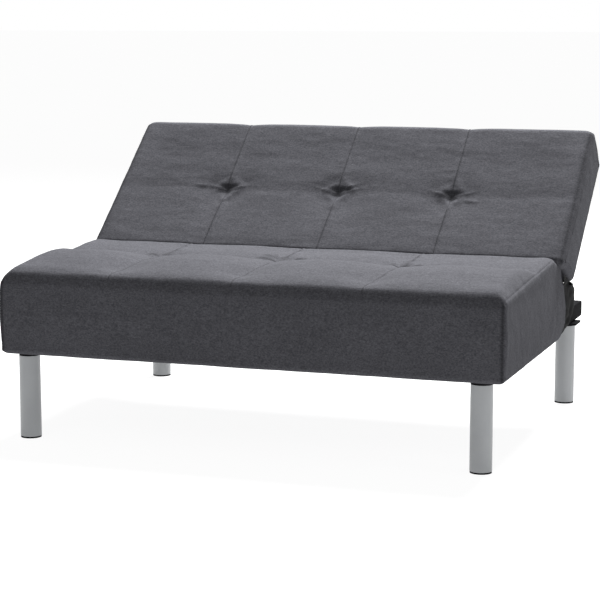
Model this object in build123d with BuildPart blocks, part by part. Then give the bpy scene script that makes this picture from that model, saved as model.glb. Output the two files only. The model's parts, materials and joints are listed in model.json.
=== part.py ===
"""Click-clack futon sofa bed: an armless two-seater whose back drops level with its seat.

Millimetres. X runs along the width, -Y is the front and Z is up. The origin is on the floor,
at the middle of the box around the sofa. The back is built leaning in its lounge position.
"""

import os
from math import cos, radians, sin

from build123d import *

os.makedirs("parts", exist_ok=True)

# ---- driving dimensions ----
FRONT = -494.0  # Y of the seat's front face
SEAT_HALF = 603.0
SEAT_BOTTOM = 205.0
SEAT_TOP = 398.0
SEAT_CROWN = 470.0  # from the front face to where the top starts to fall to the nose
SEAT_UNDER = 600.0  # length of the underside
SEAT_TAIL = 650.0  # from the front face to the rear end, under the nose
TAIL_LOW, TAIL_HIGH = 33.0, 63.0  # rear end's height over the underside
TOP_EDGE_R, HEM_R, BELLY_R, TAIL_R = 34.0, 12.0, 40.0, 13.0  # seat's corners, front top first
NOSE_R = 68.0  # seat's rear top edge, round the hinge pivot
BACK_HALF = 614.0
BACK_THICK = 136.0
BACK_LONG = 472.0  # along the back's face, from its foot to its top edge
BACK_CUT = 62.0  # how much shorter the back's rear face is at its foot
BACK_FOOT_R, BACK_TOP_R, BACK_REAR_R = 35.0, 26.0, 16.0
LEAN = radians(51.0)  # the back's face from vertical, in the lounge position
FOOT_Y, FOOT_Z = FRONT + 543.0, 408.0  # where the back's face meets the seat
PIVOT_Y, PIVOT_Z = FRONT + 558.0, 320.0

COVER = 6.0  # cloth and wadding
SEAT_EDGE_R, BACK_EDGE_R = 11.0, 12.0  # covers' side edges
GAP = 1.0  # between soft pieces and what they wrap
LIP = 9.0  # turned-in hem round the open underside of the seat cover
OPENING = 575.0 - LIP  # length of that open underside
SHEET = 1.5  # non-woven dust covers

RAIL = 40.0
RAIL_WALL = 2.0
RAIL_R = 4.0
RAIL_X = 569.0
RAIL_BOTTOM = 212.0
RAIL_TOP = RAIL_BOTTOM + RAIL
RAIL_FRONT, RAIL_REAR = FRONT + 12.0, FRONT + 966.0
RAIL_INNER = RAIL_X - RAIL / 2
CAP_T = 3.0
CAP_PLUG = 16.0  # how far an end cap reaches into its rail
CROSS = 30.0
CROSS_R = 3.0
CROSS_FRONT, CROSS_MIDDLE = FRONT + 62.0, FRONT + 440.0
CROSS_REAR = FRONT + 940.0

LEG_R = 25.0
LEG_WALL = 1.5
LEG_CAP = 3.0  # steel disc welded in the top of a leg
GLIDE_H = 4.0
GLIDE_PLUG = 12.0  # how far a glide reaches into its leg
SHY = 0.5  # collars and glides are this much slimmer than the legs
PLATE_T = 5.0
PLATE_WIDE = 66.0
LEG_TOP = RAIL_BOTTOM - PLATE_T  # underside of the leg plates
LEGS = {  # (x, y, height of the black collar)
    "front_left": (-550.0, FRONT + 36.0, 9.0),
    "front_right": (550.0, FRONT + 36.0, 9.0),
    "rear_left": (-568.0, FRONT + 862.0, 4.0),
    "rear_right": (568.0, FRONT + 862.0, 4.0),
}
STUD_R = 5.0
STUD_END = 12.0  # stud below the steel disc
NUT_H, NUT_R = 8.0, 7.8

SPRING_COUNT = 7
SPRING_STEP = 150.0
SPRING_WIDE = 52.0
SPRING_PITCH = 24.0
WIRE_R = 1.6
WIRE_GAP = 0.2  # under a wire
WIRE_PAST = 6.0  # wire past the middle of its cross tube
CLIP = (12.0, 14.0, 6.0)
CLIP_WALL = 2.0

HINGE_IN, HINGE_OUT = 524.0, 528.0  # seat plate of each hinge, from the middle of the sofa
PLATE = HINGE_OUT - HINGE_IN
RUN_GAP = 0.3  # between plates that slide past each other
ARM_IN = HINGE_OUT + RUN_GAP
ARM_OUT = ARM_IN + PLATE
PIVOT_R = 6.0
RIVET_HEAD = 4.0
SHAFT_GAP = 0.05
BOLT_R = 4.0
HEX = 13.0  # across the flats
HEAD_H = 5.0
BOLT_IN_RAIL = 14.0
BASE_BOLTS = (-50.0, 40.0)  # along the rail, from the pivot
BACK_BOLTS = (125.0, 188.0)  # up the back's face
RATCHET_R = 48.0
HINGE_FOOT = (80.0, 64.0)  # seat plate along the rail, before and behind the pivot
HINGE_NECK = 40.0
HINGE_FLANGE = 61.0  # seat plate's foot across the rail
TOOTH = 4.0
TOOTH_STEP = 11.67  # degrees: six clicks from upright to flat
TEETH = 8
PAWL_GAP = 0.8  # between the pawl's tip and the teeth, in its lifted rest position
PAWL_PIN = (55.0, 30.0)  # radius and angle about the pivot, in the back's own plane
PAWL_TIP_ANGLE = 10.0
PAWL_CLEAR = 0.2  # each side of the pawl
PIN_R = 3.0
PIN_HEAD = 2.5  # how much wider than the pin its heads are
ARM_R = 30.0  # back plate round the pivot
ARM_TIP_R = 8.0  # back plate round the pawl's pin
ARM_HALF = 12.0
ARM_LOW, ARM_HIGH = 78.0, 205.0  # back plate along the side tube
COIL_R, COIL_WIRE_R, COIL_PITCH, COIL_H = 4.2, 0.5, 1.4, 2.8
SLOT_WIDE = 10.0  # slots in the covers for the back plates
POCKET_IN = 505.0  # room in the seat foam for each hinge, out to the seat's side
POCKET_LONG = 200.0
SPRING_LEAD = 24.0  # straight end of each wire, under its clip

BACK_TUBE = 25.0
BACK_TUBE_WALL = 1.5
BACK_TUBE_R = 3.0
BACK_TUBE_OUT = -100.0  # tube centres, behind the back's face
BACK_TUBE_X = ARM_OUT + BACK_TUBE / 2
BACK_TUBE_LOW, BACK_TUBE_HIGH = 97.0, 428.0  # lower and upper cross tubes, up the face
BACK_FRAME_LOW, BACK_FRAME_HIGH = ARM_LOW, BACK_TUBE_HIGH + BACK_TUBE / 2
BACK_FOAM_REAR = -80.0
FOAM_SLOT = (512.0, 545.0)  # room in the back foam for each hinge
PANEL_LOW, PANEL_HIGH = 90.0, BACK_LONG - 20.0
PANEL_HALF = BACK_HALF - 24.0

BUFFER_X, BUFFER_R, BUFFER_H = 400.0, 14.0, 9.0
GUSSET_T = 1.5
HUGE = 2000.0  # larger than the sofa, for cutting

SIDES = {"left": -1, "right": 1}


def save(builder, name):
    """Label a finished piece and write it as its own STEP file."""
    builder.part.label = name
    export_step(builder.part, f"parts/{name}.step")


def side_plane(x=0.0):
    """A plane across the sofa whose x is the row's Y and whose y is Z."""
    return Plane(origin=(x, 0, 0), x_dir=(0, 1, 0), z_dir=(1, 0, 0))


def back_plane(x=0.0):
    """A plane across the sofa whose x runs up the back's face and whose y points out of it."""
    return Plane(origin=(x, FOOT_Y, FOOT_Z), x_dir=(0, sin(LEAN), cos(LEAN)), z_dir=(1, 0, 0))


def in_back(y, z):
    """A point of the side plane, given in the back's own plane."""
    up = (y - FOOT_Y) * sin(LEAN) + (z - FOOT_Z) * cos(LEAN)
    out = (z - FOOT_Z) * sin(LEAN) - (y - FOOT_Y) * cos(LEAN)
    return up, out


def lowest(s, near, far):
    """Where a slab between two distances from the middle starts on side s."""
    return min(s * near, s * far)


def around_pivot(radius, degrees):
    """A point of the back's plane, at a radius and angle about the pivot."""
    return (
        PIVOT_UP + radius * cos(radians(degrees)),
        PIVOT_OUT + radius * sin(radians(degrees)),
    )


PIVOT_UP, PIVOT_OUT = in_back(PIVOT_Y, PIVOT_Z)

# ---- outlines of the two cushions, seen from the side ----
with BuildSketch() as seat_outline:
    with BuildLine():
        nose = CenterArc((PIVOT_Y, PIVOT_Z), NOSE_R, -3, 93)
        Polyline(
            nose @ 1,
            (FRONT + SEAT_CROWN, SEAT_TOP),
            (FRONT, SEAT_TOP - 2),
            (FRONT, SEAT_BOTTOM),
            (FRONT + SEAT_UNDER, SEAT_BOTTOM),
            (FRONT + SEAT_TAIL, SEAT_BOTTOM + TAIL_LOW),
            (FRONT + SEAT_TAIL, SEAT_BOTTOM + TAIL_HIGH),
            nose @ 0,
        )
    make_face()
    for corner, radius in (
        ((FRONT, SEAT_TOP), TOP_EDGE_R),
        ((FRONT, SEAT_BOTTOM), HEM_R),
        ((FRONT + SEAT_UNDER, SEAT_BOTTOM), BELLY_R),
        ((FRONT + SEAT_TAIL, SEAT_BOTTOM + TAIL_LOW), TAIL_R),
    ):
        fillet(seat_outline.vertices().sort_by_distance(corner)[0], radius=radius)

with BuildSketch() as back_outline:
    with BuildLine():
        Polyline(
            (0, 0),
            (BACK_LONG, 0),
            (BACK_LONG, -BACK_THICK),
            (BACK_CUT, -BACK_THICK),
            close=True,
        )
    make_face()
    for corner, radius in (
        ((0, 0), BACK_FOOT_R),
        ((BACK_LONG, 0), BACK_TOP_R),
        ((BACK_LONG, -BACK_THICK), BACK_REAR_R),
        ((BACK_CUT, -BACK_THICK), BACK_REAR_R),
    ):
        fillet(back_outline.vertices().sort_by_distance(corner)[0], radius=radius)

# ---- base frame: rails, cross members, end caps ----
for side, s in SIDES.items():
    with BuildPart() as rail:
        with BuildSketch(Plane.XZ.offset(-RAIL_FRONT)):
            with Locations((s * RAIL_X, RAIL_BOTTOM + RAIL / 2)):
                RectangleRounded(RAIL, RAIL, RAIL_R)
                bore = RAIL - 2 * RAIL_WALL
                RectangleRounded(bore, bore, RAIL_R - RAIL_WALL, mode=Mode.SUBTRACT)
        extrude(amount=-(RAIL_REAR - RAIL_FRONT))
        with Locations(*[(s * RAIL_X, PIVOT_Y + dy, RAIL_TOP) for dy in BASE_BOLTS]):
            Hole(BOLT_R + SHAFT_GAP, depth=RAIL / 2)
    save(rail, f"side_rail_{side}")

for name, y, size in (
    ("front_cross_tube", CROSS_FRONT, CROSS),
    ("middle_cross_tube", CROSS_MIDDLE, CROSS),
    ("rear_cross_tube", CROSS_REAR, RAIL),
):
    with BuildPart() as cross_tube:
        with BuildSketch(side_plane()):
            with Locations((y, RAIL_BOTTOM + size / 2)):
                RectangleRounded(size, size, CROSS_R)
                bore = size - 2 * RAIL_WALL
                RectangleRounded(bore, bore, CROSS_R - RAIL_WALL, mode=Mode.SUBTRACT)
        extrude(amount=RAIL_INNER, both=True)
    save(cross_tube, name)

with BuildPart() as rail_end_caps:
    for s in SIDES.values():
        with Locations((s * RAIL_X, RAIL_REAR + CAP_T / 2, RAIL_BOTTOM + RAIL / 2)):
            cap = Box(RAIL, CAP_T, RAIL)
        outer = cap.edges().filter_by(Axis.Y)
        fillet(outer, radius=RAIL_R)
        with Locations((s * RAIL_X, RAIL_REAR - CAP_PLUG / 2, RAIL_BOTTOM + RAIL / 2)):
            plug = RAIL - 2 * RAIL_WALL - 2 * GAP
            Box(plug, CAP_PLUG, plug)
save(rail_end_caps, "rail_end_caps")

# ---- legs, collars, glides, plates and studs ----
for name, (x, y, collar) in LEGS.items():
    with BuildPart() as leg:
        with BuildSketch(Plane.XY.offset(GLIDE_H)):
            with Locations((x, y)):
                Circle(LEG_R)
                Circle(LEG_R - LEG_WALL, mode=Mode.SUBTRACT)
        extrude(amount=LEG_TOP - collar - GLIDE_H)
        with BuildSketch(Plane.XY.offset(LEG_TOP - collar - LEG_CAP)):
            with Locations((x, y)):
                Circle(LEG_R - LEG_WALL)
                Circle(STUD_R + SHAFT_GAP, mode=Mode.SUBTRACT)
        extrude(amount=LEG_CAP)
    save(leg, f"leg_{name}")

with BuildPart() as leg_collars:
    for x, y, collar in LEGS.values():
        with BuildSketch(Plane.XY.offset(LEG_TOP - collar)):
            with Locations((x, y)):
                Circle(LEG_R - SHY)
                Circle(STUD_R + SHAFT_GAP, mode=Mode.SUBTRACT)
        extrude(amount=collar)
save(leg_collars, "leg_collars")

with BuildPart() as foot_glides:
    for x, y, _ in LEGS.values():
        with BuildSketch(Plane.XY):
            with Locations((x, y)):
                Circle(LEG_R - SHY)
        extrude(amount=GLIDE_H)
        with BuildSketch(Plane.XY.offset(GLIDE_H)):
            with Locations((x, y)):
                Circle(LEG_R - LEG_WALL - SHAFT_GAP)
        extrude(amount=GLIDE_PLUG)
save(foot_glides, "foot_glides")

with BuildPart() as leg_plates:
    for x, y, _ in LEGS.values():
        plate_y = max(y, RAIL_FRONT + PLATE_WIDE / 2 + GAP)
        with Locations((x, plate_y, LEG_TOP + PLATE_T / 2)):
            Box(PLATE_WIDE, PLATE_WIDE, PLATE_T)
        with Locations((x, y, RAIL_BOTTOM)):
            Hole(STUD_R + SHAFT_GAP, depth=PLATE_T)
save(leg_plates, "leg_plates")

with BuildPart() as leg_studs:
    for x, y, collar in LEGS.values():
        foot = LEG_TOP - collar - LEG_CAP
        with BuildSketch(Plane.XY.offset(foot - STUD_END)):
            with Locations((x, y)):
                Circle(STUD_R)
        extrude(amount=RAIL_BOTTOM - foot + STUD_END)
        with BuildSketch(Plane.XY.offset(foot - NUT_H)):
            with Locations((x, y)):
                RegularPolygon(NUT_R, 6)
        extrude(amount=NUT_H)
save(leg_studs, "leg_studs")

# ---- sinuous springs and their clips ----


def spring_path(plane, x, start, end):
    """One wire's zigzag centre line, round at every bend, along a plane's y from start to end."""
    first, last = start + SPRING_LEAD, end - SPRING_LEAD
    turns = int((last - first) / SPRING_PITCH)
    step = (last - first) / turns
    points = [(x, start)]
    for n in range(turns + 1):
        points.append((points[-1][0], first + n * step))
        reach = SPRING_WIDE / 2 * (1 if n % 2 else -1)
        points.append((x + reach if n < turns else x, first + n * step))
    points.append((x, end))
    with BuildLine(plane) as path:
        FilletPolyline(*points, radius=step * 0.4)
    return path.line


def springs(plane, start, end, name):
    """A row of wires across the frame."""
    with BuildPart() as wires:
        for n in range(SPRING_COUNT):
            x = (n - (SPRING_COUNT - 1) / 2) * SPRING_STEP
            line = spring_path(plane, x, start, end)
            with BuildSketch(Plane(origin=line @ 0, z_dir=line % 0)):
                Circle(WIRE_R)
            sweep(path=line)
    save(wires, name)


def clips(plane, ends, name):
    """A steel saddle over each end of each wire, standing on the plane's cross tubes."""
    width, length, height = CLIP
    with BuildPart() as saddles:
        with BuildSketch(plane):
            for n in range(SPRING_COUNT):
                for end in ends:
                    with Locations(((n - (SPRING_COUNT - 1) / 2) * SPRING_STEP, end)):
                        Rectangle(width, length)
        extrude(amount=height)
        with BuildSketch(plane):
            for n in range(SPRING_COUNT):
                for end in ends:
                    with Locations(((n - (SPRING_COUNT - 1) / 2) * SPRING_STEP, end)):
                        Rectangle(width - 2 * CLIP_WALL, length)
        extrude(amount=height - CLIP_WALL, mode=Mode.SUBTRACT)
    save(saddles, name)


seat_clip_plane = Plane.XY.offset(RAIL_BOTTOM + CROSS)
seat_spring_plane = seat_clip_plane.offset(WIRE_R + WIRE_GAP)
seat_ends = (CROSS_FRONT, CROSS_MIDDLE)
springs(seat_spring_plane, CROSS_FRONT - WIRE_PAST, CROSS_MIDDLE + WIRE_PAST, "seat_springs")
clips(seat_clip_plane, seat_ends, "seat_spring_clips")


def face_plane(out):
    """A plane along the back's face, at a height out of it, with x across and y up the face."""
    origin = (0, FOOT_Y - out * cos(LEAN), FOOT_Z + out * sin(LEAN))
    return Plane(origin=origin, x_dir=(1, 0, 0), z_dir=(0, -cos(LEAN), sin(LEAN)))


back_clip_plane = face_plane(BACK_TUBE_OUT + BACK_TUBE / 2)
back_spring_plane = back_clip_plane.offset(WIRE_R + WIRE_GAP)
back_ends = (BACK_TUBE_LOW, BACK_TUBE_HIGH)
springs(back_spring_plane, BACK_TUBE_LOW - WIRE_PAST, BACK_TUBE_HIGH + WIRE_PAST, "back_springs")
clips(back_clip_plane, back_ends, "back_spring_clips")

# ---- seat: foam, cover and dust cover ----
with BuildPart() as seat_foam:
    with BuildSketch(side_plane()):
        add(seat_outline.sketch)
        offset(amount=-(COVER + GAP), mode=Mode.REPLACE)
        with Locations((FRONT, 0)):
            Rectangle(HUGE, 2 * (RAIL_TOP + 2 * GAP), mode=Mode.SUBTRACT)
    extrude(amount=SEAT_HALF - COVER - GAP, both=True)
    pocket = SEAT_HALF - POCKET_IN
    for s in SIDES.values():
        with Locations((s * (POCKET_IN + pocket / 2), PIVOT_Y, SEAT_TOP)):
            Box(pocket, POCKET_LONG, HUGE, mode=Mode.SUBTRACT)
save(seat_foam, "seat_foam")

with BuildPart() as seat_cover:
    with BuildSketch(side_plane()):
        add(seat_outline.sketch)
    extrude(amount=SEAT_HALF, both=True)
    ends = seat_cover.faces().filter_by(Axis.X)
    fillet(ends.edges(), radius=SEAT_EDGE_R)
    with BuildSketch(side_plane()):
        add(seat_outline.sketch)
        offset(amount=-COVER, mode=Mode.REPLACE)
    extrude(amount=SEAT_HALF - COVER, both=True, mode=Mode.SUBTRACT)
    with Locations((0, FRONT + LIP + OPENING / 2, SEAT_BOTTOM)):
        Box(2 * (SEAT_HALF - LIP), OPENING, 3 * COVER, mode=Mode.SUBTRACT)
    hole = RAIL + 4 * GAP
    arm_x = ARM_IN + PLATE / 2
    for s in SIDES.values():
        with Locations((s * RAIL_X, FRONT + SEAT_TAIL, RAIL_BOTTOM + RAIL / 2)):
            Box(hole, POCKET_LONG, hole, mode=Mode.SUBTRACT)
        with BuildSketch(side_plane(lowest(s, arm_x - SLOT_WIDE / 2, arm_x + SLOT_WIDE / 2))):
            with Locations((PIVOT_Y + SEAT_HALF / 2 - ARM_R, RAIL_TOP + ARM_HALF)):
                Rectangle(SEAT_HALF, SEAT_TOP - RAIL_TOP, align=(Align.CENTER, Align.MIN))
        extrude(amount=SLOT_WIDE, mode=Mode.SUBTRACT)
save(seat_cover, "seat_cover")

with BuildPart() as seat_dust_cover:
    with Locations((0, FRONT + LIP + OPENING / 2, SEAT_BOTTOM + SHEET / 2)):
        Box(2 * (SEAT_HALF - LIP - GAP), OPENING - 2 * GAP, SHEET)
    for s in SIDES.values():
        with Locations((s * LEGS["front_right"][0], LEGS["front_right"][1], SEAT_BOTTOM)):
            Box(2 * LEG_R + 4 * GAP, 2 * LEG_R + 6 * GAP, RAIL, mode=Mode.SUBTRACT)
save(seat_dust_cover, "seat_dust_cover")

# ---- click-clack hinges ----
PIN_UP, PIN_OUT = around_pivot(*PAWL_PIN)
for side, s in SIDES.items():
    with BuildPart() as seat_plate:
        with BuildSketch(side_plane(lowest(s, HINGE_IN, HINGE_OUT))):
            with BuildLine():
                Polyline(
                    (PIVOT_Y - HINGE_FOOT[0], RAIL_TOP),
                    (PIVOT_Y + HINGE_FOOT[1], RAIL_TOP),
                    (PIVOT_Y + HINGE_NECK, PIVOT_Z),
                    (PIVOT_Y - HINGE_NECK, PIVOT_Z),
                    close=True,
                )
            make_face()
            with Locations((PIVOT_Y, PIVOT_Z)):
                Circle(RATCHET_R)
                Circle(PIVOT_R, mode=Mode.SUBTRACT)
                with PolarLocations(RATCHET_R, TEETH, 2, TEETH * TOOTH_STEP):
                    with BuildLine():
                        Polyline((1, -TOOTH), (1, 0.6), (-TOOTH, 0.6), close=True)
                    make_face(mode=Mode.SUBTRACT)
        extrude(amount=PLATE)
        middle = (HINGE_FOOT[1] - HINGE_FOOT[0]) / 2
        flange_x = HINGE_IN + HINGE_FLANGE / 2
        with Locations((s * flange_x, PIVOT_Y + middle, RAIL_TOP + PLATE / 2)):
            Box(HINGE_FLANGE, sum(HINGE_FOOT), PLATE)
        with Locations(*[(s * RAIL_X, PIVOT_Y + dy, RAIL_TOP + PLATE) for dy in BASE_BOLTS]):
            Hole(BOLT_R + SHAFT_GAP, depth=PLATE)
    save(seat_plate, f"hinge_seat_plate_{side}")

    with BuildPart() as back_plate:
        with BuildSketch(back_plane(lowest(s, ARM_IN, ARM_OUT))):
            with Locations((PIVOT_UP, PIVOT_OUT)):
                Circle(ARM_R)
            with Locations((PIN_UP, PIN_OUT)):
                Circle(ARM_TIP_R)
            make_hull()
            with BuildLine():
                Polyline(
                    (PIVOT_UP, PIVOT_OUT + ARM_R),
                    (ARM_LOW, BACK_TUBE_OUT + ARM_HALF),
                    (ARM_HIGH, BACK_TUBE_OUT + ARM_HALF),
                    (ARM_HIGH, BACK_TUBE_OUT - ARM_HALF),
                    (ARM_LOW, BACK_TUBE_OUT - ARM_HALF),
                    (PIVOT_UP, PIVOT_OUT - ARM_R),
                    close=True,
                )
            make_face()
            with Locations((PIVOT_UP, PIVOT_OUT)):
                Circle(PIVOT_R + SHAFT_GAP, mode=Mode.SUBTRACT)
            with Locations((PIN_UP, PIN_OUT)):
                Circle(PIN_R, mode=Mode.SUBTRACT)
            with Locations(*[(up, BACK_TUBE_OUT) for up in BACK_BOLTS]):
                Circle(BOLT_R + SHAFT_GAP, mode=Mode.SUBTRACT)
        extrude(amount=PLATE)
    save(back_plate, f"hinge_back_plate_{side}")

    with BuildPart() as pawl:
        with BuildSketch(back_plane(lowest(s, HINGE_IN + PAWL_CLEAR, HINGE_OUT - PAWL_CLEAR))):
            with BuildLine():
                Polyline(
                    around_pivot(RATCHET_R + PAWL_GAP, PAWL_TIP_ANGLE - 2),
                    around_pivot(RATCHET_R + 6, PAWL_TIP_ANGLE),
                    around_pivot(PAWL_PIN[0] + 5, PAWL_PIN[1] - 4),
                    around_pivot(RATCHET_R + 2.5, PAWL_PIN[1] + 2),
                    around_pivot(RATCHET_R + 2.5, PAWL_TIP_ANGLE + 10),
                    close=True,
                )
            make_face()
            with Locations((PIN_UP, PIN_OUT)):
                Circle(PIN_R + PIN_HEAD)
                Circle(PIN_R + SHAFT_GAP, mode=Mode.SUBTRACT)
        extrude(amount=PLATE - 2 * PAWL_CLEAR)
    save(pawl, f"pawl_{side}")


def round_bars(plane, centre, stretches, name):
    """A turned pin on each side: (radius, near, far) stretches along X about one centre."""
    with BuildPart() as bars:
        for s in SIDES.values():
            for radius, near, far in stretches:
                with BuildSketch(plane(lowest(s, near, far))):
                    with Locations(centre):
                        Circle(radius)
                extrude(amount=far - near)
    save(bars, name)


pivot_stretches = (
    (PIVOT_R + RIVET_HEAD, HINGE_IN - RIVET_HEAD, HINGE_IN),
    (PIVOT_R, HINGE_IN, ARM_OUT + RUN_GAP),
    (PIVOT_R + RIVET_HEAD, ARM_OUT + RUN_GAP, ARM_OUT + RUN_GAP + RIVET_HEAD),
)
round_bars(side_plane, (PIVOT_Y, PIVOT_Z), pivot_stretches, "hinge_pivot_rivets")
PIN_INNER = HINGE_IN - COIL_H - 2.7
pin_stretches = (
    (PIN_R + PIN_HEAD, PIN_INNER, PIN_INNER + 1),
    (PIN_R, PIN_INNER + 1, ARM_OUT),
    (PIN_R + PIN_HEAD, ARM_OUT, ARM_OUT + 2),
)
round_bars(back_plane, (PIN_UP, PIN_OUT), pin_stretches, "pawl_pins")

with BuildPart() as pawl_springs:
    for s in SIDES.values():
        start = lowest(s, PIN_INNER + 1.7, PIN_INNER + 1.7 + COIL_H)
        base = back_plane(start)
        centre = base.from_local_coords((PIN_UP, PIN_OUT, 0))
        coil_plane = Plane(origin=centre, x_dir=base.x_dir, z_dir=base.z_dir)
        coil = coil_plane.from_local_coords(Helix(COIL_PITCH, COIL_H, COIL_R))
        with BuildSketch(Plane(origin=coil @ 0, z_dir=coil % 0)):
            Circle(COIL_WIRE_R)
        sweep(path=coil, is_frenet=True)
save(pawl_springs, "pawl_springs")

with BuildPart() as hinge_base_bolts:
    for s in SIDES.values():
        for dy in BASE_BOLTS:
            with BuildSketch(Plane.XY.offset(RAIL_TOP + PLATE)):
                with Locations((s * RAIL_X, PIVOT_Y + dy)):
                    RegularPolygon(HEX / 2, 6, major_radius=False)
            extrude(amount=HEAD_H)
            with BuildSketch(Plane.XY.offset(RAIL_TOP - BOLT_IN_RAIL)):
                with Locations((s * RAIL_X, PIVOT_Y + dy)):
                    Circle(BOLT_R)
            extrude(amount=BOLT_IN_RAIL + PLATE)
save(hinge_base_bolts, "hinge_base_bolts")

with BuildPart() as hinge_back_bolts:
    for s in SIDES.values():
        for up in BACK_BOLTS:
            tube_out = ARM_OUT + BACK_TUBE
            for near, far in ((ARM_IN - HEAD_H, ARM_IN), (tube_out, tube_out + HEAD_H)):
                with BuildSketch(back_plane(lowest(s, near, far))):
                    with Locations((up, BACK_TUBE_OUT)):
                        RegularPolygon(HEX / 2, 6, major_radius=False)
                extrude(amount=far - near)
            with BuildSketch(back_plane(lowest(s, ARM_IN, tube_out))):
                with Locations((up, BACK_TUBE_OUT)):
                    Circle(BOLT_R)
            extrude(amount=tube_out - ARM_IN)
save(hinge_back_bolts, "hinge_back_bolts")

with BuildPart() as rest_buffers:
    with BuildSketch(Plane.XY.offset(RAIL_TOP)):
        with Locations((-BUFFER_X, CROSS_REAR), (BUFFER_X, CROSS_REAR)):
            Circle(BUFFER_R)
    extrude(amount=BUFFER_H)
    fillet(rest_buffers.edges().group_by(Axis.Z)[-1], radius=2)
save(rest_buffers, "rest_buffers")

# ---- back frame, foam, cover and rear panel ----
for side, s in SIDES.items():
    up_plane = Plane(
        origin=back_plane().from_local_coords((BACK_FRAME_LOW, 0, 0)),
        x_dir=(1, 0, 0),
        z_dir=(0, sin(LEAN), cos(LEAN)),
    )
    with BuildPart() as side_tube:
        with BuildSketch(up_plane):
            with Locations((s * BACK_TUBE_X, -BACK_TUBE_OUT)):
                RectangleRounded(BACK_TUBE, BACK_TUBE, BACK_TUBE_R)
                bore = BACK_TUBE - 2 * BACK_TUBE_WALL
                RectangleRounded(bore, bore, BACK_TUBE_R - BACK_TUBE_WALL, mode=Mode.SUBTRACT)
        extrude(amount=BACK_FRAME_HIGH - BACK_FRAME_LOW)
        with BuildSketch(back_plane(lowest(s, ARM_OUT, ARM_OUT + BACK_TUBE))):
            with Locations(*[(up, BACK_TUBE_OUT) for up in BACK_BOLTS]):
                Circle(BOLT_R + SHAFT_GAP)
        extrude(amount=BACK_TUBE, mode=Mode.SUBTRACT)
    save(side_tube, f"back_side_tube_{side}")

for name, up, half in (
    ("back_lower_tube", BACK_TUBE_LOW, ARM_IN),
    ("back_upper_tube", BACK_TUBE_HIGH, ARM_OUT),
):
    with BuildPart() as back_tube:
        with BuildSketch(back_plane()):
            with Locations((up, BACK_TUBE_OUT)):
                RectangleRounded(BACK_TUBE, BACK_TUBE, BACK_TUBE_R)
                bore = BACK_TUBE - 2 * BACK_TUBE_WALL
                RectangleRounded(bore, bore, BACK_TUBE_R - BACK_TUBE_WALL, mode=Mode.SUBTRACT)
        extrude(amount=half, both=True)
    save(back_tube, name)

with BuildPart() as back_foam:
    with BuildSketch(back_plane()):
        add(back_outline.sketch)
        offset(amount=-(COVER + GAP), mode=Mode.REPLACE)
        with Locations((0, BACK_FOAM_REAR - HUGE / 2)):
            Rectangle(HUGE, HUGE, mode=Mode.SUBTRACT)
    extrude(amount=BACK_HALF - COVER - GAP, both=True)
    for s in SIDES.values():
        with BuildSketch(back_plane(lowest(s, *FOAM_SLOT))):
            Rectangle(2 * BACK_FRAME_LOW + BACK_TUBE, HUGE)
        extrude(amount=FOAM_SLOT[1] - FOAM_SLOT[0], mode=Mode.SUBTRACT)
save(back_foam, "back_foam")

PANEL_MID = (PANEL_LOW + PANEL_HIGH) / 2
with BuildPart() as back_cover:
    with BuildSketch(back_plane()):
        add(back_outline.sketch)
    extrude(amount=BACK_HALF, both=True)
    ends = back_cover.faces().filter_by(Axis.X)
    fillet(ends.edges(), radius=BACK_EDGE_R)
    with BuildSketch(back_plane()):
        add(back_outline.sketch)
        offset(amount=-COVER, mode=Mode.REPLACE)
    extrude(amount=BACK_HALF - COVER, both=True, mode=Mode.SUBTRACT)
    with BuildSketch(back_plane()):
        with Locations((PANEL_MID, -BACK_THICK)):
            Rectangle(PANEL_HIGH - PANEL_LOW, 3 * COVER)
    extrude(amount=PANEL_HALF, both=True, mode=Mode.SUBTRACT)
    for s in SIDES.values():
        with BuildSketch(back_plane(lowest(s, ARM_IN - 7 * GAP, ARM_OUT + 3 * GAP))):
            with Locations((PIVOT_UP, PIVOT_OUT)):
                Rectangle(2 * (ARM_LOW - PIVOT_UP), 3 * ARM_R - GAP)
        extrude(amount=PLATE + 10 * GAP, mode=Mode.SUBTRACT)
save(back_cover, "back_cover")

with BuildPart() as back_rear_panel:
    with BuildSketch(back_plane()):
        with Locations((PANEL_MID, -BACK_THICK + SHEET)):
            Rectangle(PANEL_HIGH - PANEL_LOW - 2 * GAP, 2 * SHEET)
    extrude(amount=PANEL_HALF - GAP, both=True)
save(back_rear_panel, "back_rear_panel")

# ---- gusset: loose black cloth that closes the gap behind the seat ----
with BuildPart() as hinge_gusset:
    with BuildSketch(side_plane()):
        with BuildLine():
            Spline(
                (FRONT + 694, 322),
                (FRONT + 748, 284),
                (FRONT + 760, 244),
                (FRONT + 715, 216),
                (FRONT + 662, 210),
            )
        trace(line_width=GUSSET_T)
    extrude(amount=RAIL_INNER - 3 * GAP, both=True)
    for s in SIDES.values():
        rail_side = RAIL_X + RAIL / 2 + GAP
        with BuildSketch(side_plane(lowest(s, rail_side, rail_side + GUSSET_T))):
            with BuildLine():
                Polyline(
                    (FRONT + 656, 244),
                    (FRONT + 655, 275),
                    (FRONT + 634, 318),
                    (FRONT + 668, 330),
                    (FRONT + 694, 322),
                    (FRONT + 748, 284),
                    (FRONT + 766, 250),
                    (FRONT + 706, 226),
                    close=True,
                )
            make_face()
        extrude(amount=GUSSET_T)
save(hinge_gusset, "hinge_gusset")
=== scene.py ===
"""Looks of the click-clack futon sofa bed, built around its CAD frame. Metres, row frame."""

import json
import math

import bpy
import numpy as np
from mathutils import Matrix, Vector, noise


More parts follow.
